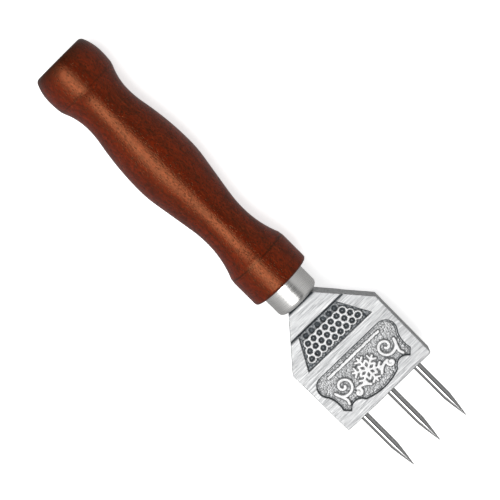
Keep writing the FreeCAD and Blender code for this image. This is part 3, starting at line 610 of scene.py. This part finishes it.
def panelRelief(place, across):
    # a sunk trapezium whose floor carries a web of joined discs, each with a round cup in its middle and
    # the first row nearly filled; returns the height in mm, the patina and where the web is bare
    p = panel
    corners = [(p["start"], p["topHalf"]), (p["end"], p["endHalf"])]
    outline = np.array(corners + [(a, -b) for a, b in corners[::-1]])
    points = np.stack([place.ravel(), across.ravel()], axis=1)
    inside = depthInside(points, outline).reshape(place.shape)
    near = np.full(place.shape, 9.0)
    for centre in dimpleCentres():
        near = np.minimum(near, np.hypot(place - centre[0], across - centre[1]))
    near = near + p["unevenness"] * (pebbles(place, across, *p["uneven"]) - 0.4)
    filled = ease((p["firstRow"] + p["filledPast"] - place) / p["filledRun"])
    mottle = pebbles(place, across, *p["mottle"])
    sunk = ease(inside / p["slope"] + 0.3)
    web = ease((p["reach"] - near) / p["webEdge"] + 0.5) * (1 - 0.8 * filled)
    cup = ease((p["dimple"] - near) / p["cupEdge"] + 0.4) * (1 - 0.5 * filled)
    heart = ease(1 - near / p["heart"])
    dip = p["dimpleDepth"] * cup * (1 - 0.45 * heart)
    relief = sunk * (p["webRise"] * web - p["depth"] - dip)
    grime = p["webGrime"] * web * (1 - ease((near - p["grimeStart"]) / p["grimeRun"]))
    hollow = (1 - 0.55 * mottle) * (1 - web)
    patinaAndShade = sunk * np.clip(hollow + grime + cup * (1.0 - 0.8 * heart), 0, 1)
    return relief, patinaAndShade, sunk * web * (1 - cup)


def cartoucheRelief(place, across):
    # a sunk field with a dark rut and a deeper moat along its wall, a pebbled floor, one straight bead and
    # the ornament; returns the height in mm, the patina and where the metal stands proud
    c = cartouche
    points = np.stack([place.ravel(), across.ravel()], axis=1)
    inside = depthInside(points, cartoucheOutline()).reshape(place.shape)
    floor = ease(inside / c["slope"] + 0.3)
    moat = ease(1.15 - np.abs(inside - c["moatPlace"]) / c["moat"]) * floor
    rut = np.exp(-((inside - c["rutPlace"]) / c["rutWidth"]) ** 2)
    beadAway = np.hypot(place - c["top"] - c["bead"], np.maximum(np.abs(across) - c["beadHalf"], 0))
    beadAway += c["beadWaver"] * (pebbles(place, across, *c["beadUneven"]) - 0.4)
    bead = c["beadRise"] * ease((c["beadWidth"] - beadAway) / 0.3 + 0.5)
    raised = np.maximum(ornamentHeight(place, across), bead) * floor
    bare = 1 - ease(raised / 0.25)
    grains = pebbles(place, across, *c["pebble"])
    texture = c["moatDepth"] * moat - c["pebbleHeight"] * grains * (1 - 0.6 * moat)
    relief = -floor * (c["depth"] + bare * texture)
    halo = blurAlong(blurAlong(raised, c["haloCells"], 0), c["haloCells"], 1)
    patinaAndShade = floor * bare * np.clip(0.20 - 1.7 * grains + 0.6 * moat + 2.3 * halo, 0, 1)
    polished = np.maximum(ease(raised / 0.6 - 0.4), grains * bare * floor)
    return relief + raised, np.maximum(patinaAndShade, rut), polished


def faceRelief(place, across):
    # height of the decorated face over its flat in mm, its patina with painted shade at the plateau's foot
    # and under the ferrule,
    # and where grinding touched it: 1 on the flats and 2 on the high spots, which are burnished
    panelLift, panelDark, webTop = panelRelief(place, across)
    fieldLift, fieldDark, proud = cartoucheRelief(place, across)
    # the groove at the plateau's foot, which also darkens the face there as painted shade
    foot = np.exp(-((place - head["plateau"] - head["footPlace"]) / head["footRun"]) ** 4)
    relief = panelLift + fieldLift - head["footDepth"] * foot * (panelLift > -0.05)
    # painted shadow of the ferrule along the head's top rim
    ferruleShadow = ease((head["ferruleShadowEnd"] - place) / head["ferruleShadowRun"])
    patinaAndShade = np.clip(panelDark + fieldDark + foot + ferruleShadow, 0, 1)
    ground = np.maximum(relief > -0.12, 2 * np.clip(webTop + proud, 0, 1)) * (1 - patinaAndShade)
    return relief, patinaAndShade, ground


def placesAlong():
    # rows from the top edge to the prong end: fine where the relief is fine, with both rims rounded
    rim = head["edgeRound"] * (1 - np.cos(np.linspace(0, math.pi / 2, 6)))
    length = head["length"]
    spans = [
        (head["edgeRound"], 8.0, 0.7),
        (8.0, 22.4, 0.168),
        (22.4, 26.2, 0.4),
        (26.2, 47.2, 0.165),
        (47.2, length - head["cornerRound"] - 0.1, 0.4),
    ]
    rows = [rim]
    for a, b, step in spans:
        rows.append(np.linspace(a, b, int(round((b - a) / step)) + 1)[1:])
    endCorner = length - head["cornerRound"] * (1 - np.sin(np.linspace(0, math.pi / 2, 11)))
    rows.append(endCorner)
    return np.concatenate(rows)


def headRings():
    # one closed loop across the head at each place: decorated front, right edge, back, left edge; half
    # the width grows evenly down to the shoulder, then narrows a little, and both ends are rounded
    h = head
    place = placesAlong()
    sloping = h["topHalf"] + (h["half"] - h["topHalf"]) * place / h["shoulder"]
    fromShoulder = (place - h["shoulder"]) / (h["length"] - h["shoulder"])
    half = np.where(place < h["shoulder"], sloping, h["half"] + (h["endHalf"] - h["half"]) * fromShoulder)
    fromEnd = np.clip(place - (h["length"] - h["cornerRound"]), 0, h["cornerRound"])
    half = half - (h["cornerRound"] - np.sqrt(np.maximum(h["cornerRound"] ** 2 - fromEnd ** 2, 0)))
    e = h["edgeRound"]
    fromRim = np.maximum(e - place, 0) + np.maximum(place - (h["length"] - e), 0)
    rim = e - np.sqrt(np.maximum(e ** 2 - fromRim ** 2, 0))
    half = half - np.where(place < e, rim, 0)
    thick = h["thickness"] / 2 + plateauHeight(place) - rim

    spread = np.linspace(-1, 1, h["frontColumns"])
    inner = (half - e)[:, None]
    frontY = inner * spread
    rows = np.repeat(place[:, None], h["frontColumns"], axis=1)
    relief, patinaAndShade, ground = faceRelief(rows, frontY)
    frontZ = thick[:, None] + relief
    turn = np.linspace(0, math.pi / 2, h["roundColumns"] + 1)[1:]
    sideZ = np.linspace(1, -1, h["sideColumns"] + 1)[1:]
    backY = inner * np.linspace(1, -1, h["backColumns"])
    t = (thick - e)[:, None]
    flatY = (inner + e) * np.ones(len(sideZ))
    rightY = np.hstack([inner + e * np.sin(turn), flatY, inner + e * np.cos(turn)])
    rightZ = np.hstack([t + e * np.cos(turn), t * sideZ, -t - e * np.sin(turn)])
    y = np.hstack([frontY, rightY, backY[:, 1:-1], -rightY[:, ::-1]])
    backZ = -thick[:, None] * np.ones(h["backColumns"] - 2)
    z = np.hstack([frontZ, rightZ, backZ, rightZ[:, ::-1]])
    x = np.repeat(place[:, None], y.shape[1], axis=1)
    dark = np.hstack([patinaAndShade, np.zeros((len(place), y.shape[1] - h["frontColumns"]))])
    plain = np.zeros_like(rightY)
    worked = np.hstack([ground, plain, np.ones_like(backY[:, 1:-1]), plain])
    return np.stack([x, y, z], axis=-1), dark, worked


def withLayers(piece, patinaAndShade, linished):
    # what the zinc finish reads: dark patina and painted shade from 0 to 1, and metal ground (1) or
    # burnished (2)
    for name, values in (("patinaAndShade", patinaAndShade), ("linished", linished)):
        layer = piece.data.attributes.new(name, "FLOAT", "POINT")
        layer.data.foreach_set("value", values.astype(np.float32))
    return piece


def headCasting():
    # the loops, closed by shrinking copies of the first and last loop at the two ends
    rings, dark, ground = headRings()
    shrink = np.array([0.9, 0.6, 0.3, 0.1])[:, None, None] * (0, 1, 1) + (1, 0, 0)
    first, last = rings[0] * shrink[::-1], rings[-1] * shrink
    rings = np.concatenate([first, rings, last])
    blank = np.zeros((4, rings.shape[1]))
    dark, ground = np.vstack([blank, dark, blank]), np.vstack([blank, ground, blank])
    topPlace = headHigh.x - head["length"] * mm
    points = rings * mm + (topPlace, 0, axisHeight)
    poles = [(topPlace, 0, axisHeight), (headHigh.x, 0, axisHeight)]
    piece = ringPiece("head_cast", points, poles)
    return withLayers(piece, np.append(dark.ravel(), [0, 0]), np.append(ground.ravel(), [0, 0]))


zincLook = {
    # pattern cells per metre along and across the tool
    "scratchCells": (4200, 130, 130),
    "broadCells": (1500, 75, 75),
    "gritCells": (2600, 2600, 2600),
    "blotchCells": (420, 420, 420),
    "ground": ((0.21, 0.214, 0.218), (0.40, 0.404, 0.408), (0.53, 0.53, 0.53)),
    "cast": ((0.24, 0.245, 0.25), (0.74, 0.745, 0.75)),
    "burnished": (0.50, 0.50, 0.50),
    # dark tones of the patina, also used for painted shade
    "patinaAndShadeColours": ((0.016, 0.020, 0.024), (0.088, 0.10, 0.110)),
    "groundRoughness": (0.56, 0.40),
    "castRoughness": (0.5, 0.5, 0.5),
    "patinaAndShadeRoughness": (0.62, 0.62, 0.62),
}


def castZinc():
    # bright linished faces with scratches across the tool, dull as-cast edges, dark patina in the recesses
    # and painted shade where the layer asks for it
    f = Finish("cast_zinc")
    look = zincLook
    scratches = f.noise(look["scratchCells"], detail=5, roughness=0.7, distortion=0.1)
    broad = f.noise(look["broadCells"], detail=3, roughness=0.65, shift=(0.3, 0.1, 0.2))
    grit = f.noise(look["gritCells"], detail=3, roughness=0.6)
    blotch = f.noise(look["blotchCells"], detail=4, roughness=0.6, shift=(0.5, 0.5, 0.1))
    ground, patinaAndShade = f.attribute("linished"), f.attribute("patinaAndShade")

    streak = f.ramp(scratches, "Fac", list(zip((0.34, 0.50, 0.64), look["ground"])))
    band = f.ramp(broad, "Fac", [(0.34, 0.66), (0.56, 1.0)])
    linished = f.mix("MULTIPLY", 0.6, (streak, "Color"), (band, "Color"))
    cast = f.ramp(grit, "Fac", list(zip((0.34, 0.64), look["cast"])))
    worked = f.mix("MIX", ground, (cast, "Color"), linished)
    bare = f.mix("MIX", f.math("SUBTRACT", ground, 1.0, clamp=True), worked, look["burnished"])
    # the dark tones go where the layer holds patina or painted shade
    patinaAndShadeColours = f.ramp(blotch, "Fac", list(zip((0.25, 0.75), look["patinaAndShadeColours"])))
    f.put(f.mix("MIX", patinaAndShade, bare, (patinaAndShadeColours, "Color")), "Base Color")

    shiny = f.ramp(scratches, "Fac", list(zip((0.3, 0.7), look["groundRoughness"])))
    rough = f.mix("MIX", ground, look["castRoughness"], (shiny, "Color"))
    f.put(f.mix("MIX", patinaAndShade, rough, look["patinaAndShadeRoughness"]), "Roughness")
    lines = f.mix("MIX", ground, (0.5, 0.5, 0.5), (scratches, "Fac"))
    scored = f.bump(lines, 0.5, 0.05 * mm)
    f.put((f.bump((grit, "Fac"), 0.22, 0.05 * mm, under=scored), "Normal"), "Normal")
    f.shader.inputs["Metallic"].default_value = 0.9
    return f.material


boss = {"radius": 5.0 * mm, "chamfer": 0.1 * mm, "sunk": 1.0 * mm, "around": 96}


def bossProfile():
    # a short round pad from the head's top end up to the ferrule, with its root sunk in the head
    low, high = headLow.x, headHigh.x - head["length"] * mm
    r, chamfer, root = boss["radius"], boss["chamfer"], high + boss["sunk"]
    return np.array([
        (low, 0), (low, r * 0.5), (low, r - chamfer), (low + chamfer, r), (high, r), (root, r), (root, 0),
    ])


zinc = castZinc()
casting = headCasting()
bossPiece = turnedPiece("head_boss", bossProfile(), boss["around"])
everyPoint = np.ones(len(bossPiece.data.vertices))
withLayers(bossPiece, everyPoint, 0 * everyPoint)      # dark all over, in the ferrule's shadow
finishPiece(casting, zinc, "cast_zinc", "head_casting")
bossPiece.data.materials.append(zinc)
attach(bossPiece, "root")

stud = {"colour": (0.5, 0.5, 0.51), "roughness": 0.32, "lines": 2400, "haze": 0.8}
studSteel = turnedSteel("stud_steel", stud)
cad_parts["stud"].data.materials.clear()
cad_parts["stud"].data.materials.append(studSteel)
print("the tool's pieces are made")


# floor, light and camera

studio = {
    "floor": (0.93, 0.93, 0.93), "floorGlow": 0.66, "floorReach": 3.0, "floorCells": 8,
    "softPower": 17.0, "softWidth": 0.86, "softLength": 1.5, "softAway": 1.25, "softLean": 19.0,
    # strength of the room's grey from overhead down, then the dark strip and the soft glow across from it
    "sky": 0.46, "horizon": 0.40, "below": 0.32, "skyBand": (0.05, 0.6), "belowBand": (-0.15, 0.08),
    "flagLean": 0.42, "flagHalf": 0.32, "flagDark": 0.25,
    "glow": 0.12, "glowRise": (-2.2, -0.8), "glowFall": (-0.5, -0.1),
}


def makeFloor():
    # a flat square grid just under the tool, well past the view on every side
    reach, cells = studio["floorReach"], studio["floorCells"]
    line = np.linspace(-reach, reach, cells + 1)
    x, y = np.meshgrid(line, line, indexing="ij")
    points = np.stack([x.ravel(), y.ravel(), np.full(x.size, -0.02 * mm)], axis=1)
    r, c = np.meshgrid(np.arange(cells), np.arange(cells), indexing="ij")
    k = (r * (cells + 1) + c).ravel()
    mesh = bpy.data.meshes.new("floor")
    quads = np.stack([k, k + cells + 1, k + cells + 2, k + 1], axis=1)
    mesh.from_pydata(points.tolist(), [], quads.tolist())
    floor = bpy.data.objects.new("floor", mesh)
    bpy.context.scene.collection.objects.link(floor)
    f = Finish("floor_card")
    f.shader.inputs["Base Color"].default_value = (*studio["floor"], 1.0)
    f.shader.inputs["Roughness"].default_value = 0.9
    f.shader.inputs["Emission Color"].default_value = (1, 1, 1, 1)
    f.shader.inputs["Emission Strength"].default_value = studio["floorGlow"]
    mesh.materials.append(f.material)
    floor.visible_glossy = False


def makeSoftbox():
    # a rectangle facing the tool, leaning about the long axis: 0 is straight above, positive is towards -Y
    light = bpy.data.lights.new("softbox", "AREA")
    light.shape = "RECTANGLE"
    light.size, light.size_y = studio["softLength"], studio["softWidth"]
    light.energy = studio["softPower"]
    lamp = bpy.data.objects.new("softbox", light)
    bpy.context.scene.collection.objects.link(lamp)
    angle, away = math.radians(studio["softLean"]), studio["softAway"]
    lamp.location = (0, -away * math.sin(angle), axisHeight + away * math.cos(angle))
    lamp.rotation_euler = (-angle, 0, 0)


def makeWorld():
    # plain grey room: palest overhead, darker at the horizon and below it, with one dark strip beside the
    # softbox, where the direction's y/z is near flagLean, and a glow on the other side of it
    world = bpy.data.worlds.new("room")
    world.use_nodes = True
    tree = world.node_tree

    def add(kind, operation=None, *values):
        # one node, its sockets set or joined in order
        made = tree.nodes.new(kind)
        if operation:
            made.operation = operation
        for k, value in enumerate(values):
            if isinstance(value, (int, float)):
                made.inputs[k].default_value = value
            else:
                tree.links.new(value, made.inputs[k])
        return made

    def between(value, low, high, a, b):
        # eases from a to b while value goes from low to high, flat outside
        made = add("ShaderNodeMapRange", None, value, low, high, a, b)
        made.interpolation_type = "SMOOTHSTEP"
        return made.outputs["Result"]

    place = add("ShaderNodeTexCoord")
    split = add("ShaderNodeSeparateXYZ")
    tree.links.new(place.outputs["Generated"], split.inputs[0])
    _, y, z = split.outputs
    lower = between(z, *studio["belowBand"], studio["below"], studio["horizon"])
    upper = between(z, *studio["skyBand"], 0.0, studio["sky"] - studio["horizon"])
    height = add("ShaderNodeMath", "MAXIMUM", z, 0.02)
    lean = add("ShaderNodeMath", "DIVIDE", y, height.outputs[0])
    away = add("ShaderNodeMath", "SUBTRACT", lean.outputs[0], studio["flagLean"])
    away = add("ShaderNodeMath", "ABSOLUTE", away.outputs[0])
    flagHalf = studio["flagHalf"]
    flag = between(away.outputs[0], flagHalf * 0.6, flagHalf * 1.4, studio["flagDark"], 1.0)
    total = add("ShaderNodeMath", "ADD", lower, upper)
    total = add("ShaderNodeMath", "MULTIPLY", total.outputs[0], flag)
    rise = between(lean.outputs[0], *studio["glowRise"], 0.0, studio["glow"])
    fall = between(lean.outputs[0], *studio["glowFall"], 1.0, 0.0)
    glow = add("ShaderNodeMath", "MULTIPLY", rise, fall)
    total = add("ShaderNodeMath", "ADD", total.outputs[0], glow.outputs[0])
    background = tree.nodes["Background"]
    tree.links.new(total.outputs[0], background.inputs["Strength"])
    background.inputs["Color"].default_value = (1, 1, 1, 1)
    bpy.context.scene.world = world


camera = {
    "lens": 155.0,
    "place": (-0.10045, 0.09638, 0.834),
    "aim": (-0.00132, 0.00013, 0.014),
    "roll": -0.0022,
}


def makeCamera():
    # the tool's long axis runs from the upper left to the lower right of the view
    data = bpy.data.cameras.new("camera")
    data.lens = camera["lens"]
    data.sensor_width = 36.0
    data.clip_start, data.clip_end = 0.05, 20.0
    eye = bpy.data.objects.new("camera", data)
    bpy.context.scene.collection.objects.link(eye)
    back = (Vector(camera["place"]) - Vector(camera["aim"])).normalized()
    along = (Vector((1, 0, 0)) - back * back.x).normalized()
    across = back.cross(along)
    turn = math.radians(45) - camera["roll"]
    right = along * math.sin(turn) + across * math.cos(turn)
    up = across * math.sin(turn) - along * math.cos(turn)
    eye.matrix_world = Matrix.Translation(camera["place"]) @ Matrix((right, up, back)).transposed().to_4x4()
    bpy.context.scene.camera = eye


makeFloor()
makeWorld()
makeSoftbox()
makeCamera()
bpy.context.scene.view_settings.view_transform = "Standard"
print("floor, light and camera are ready")
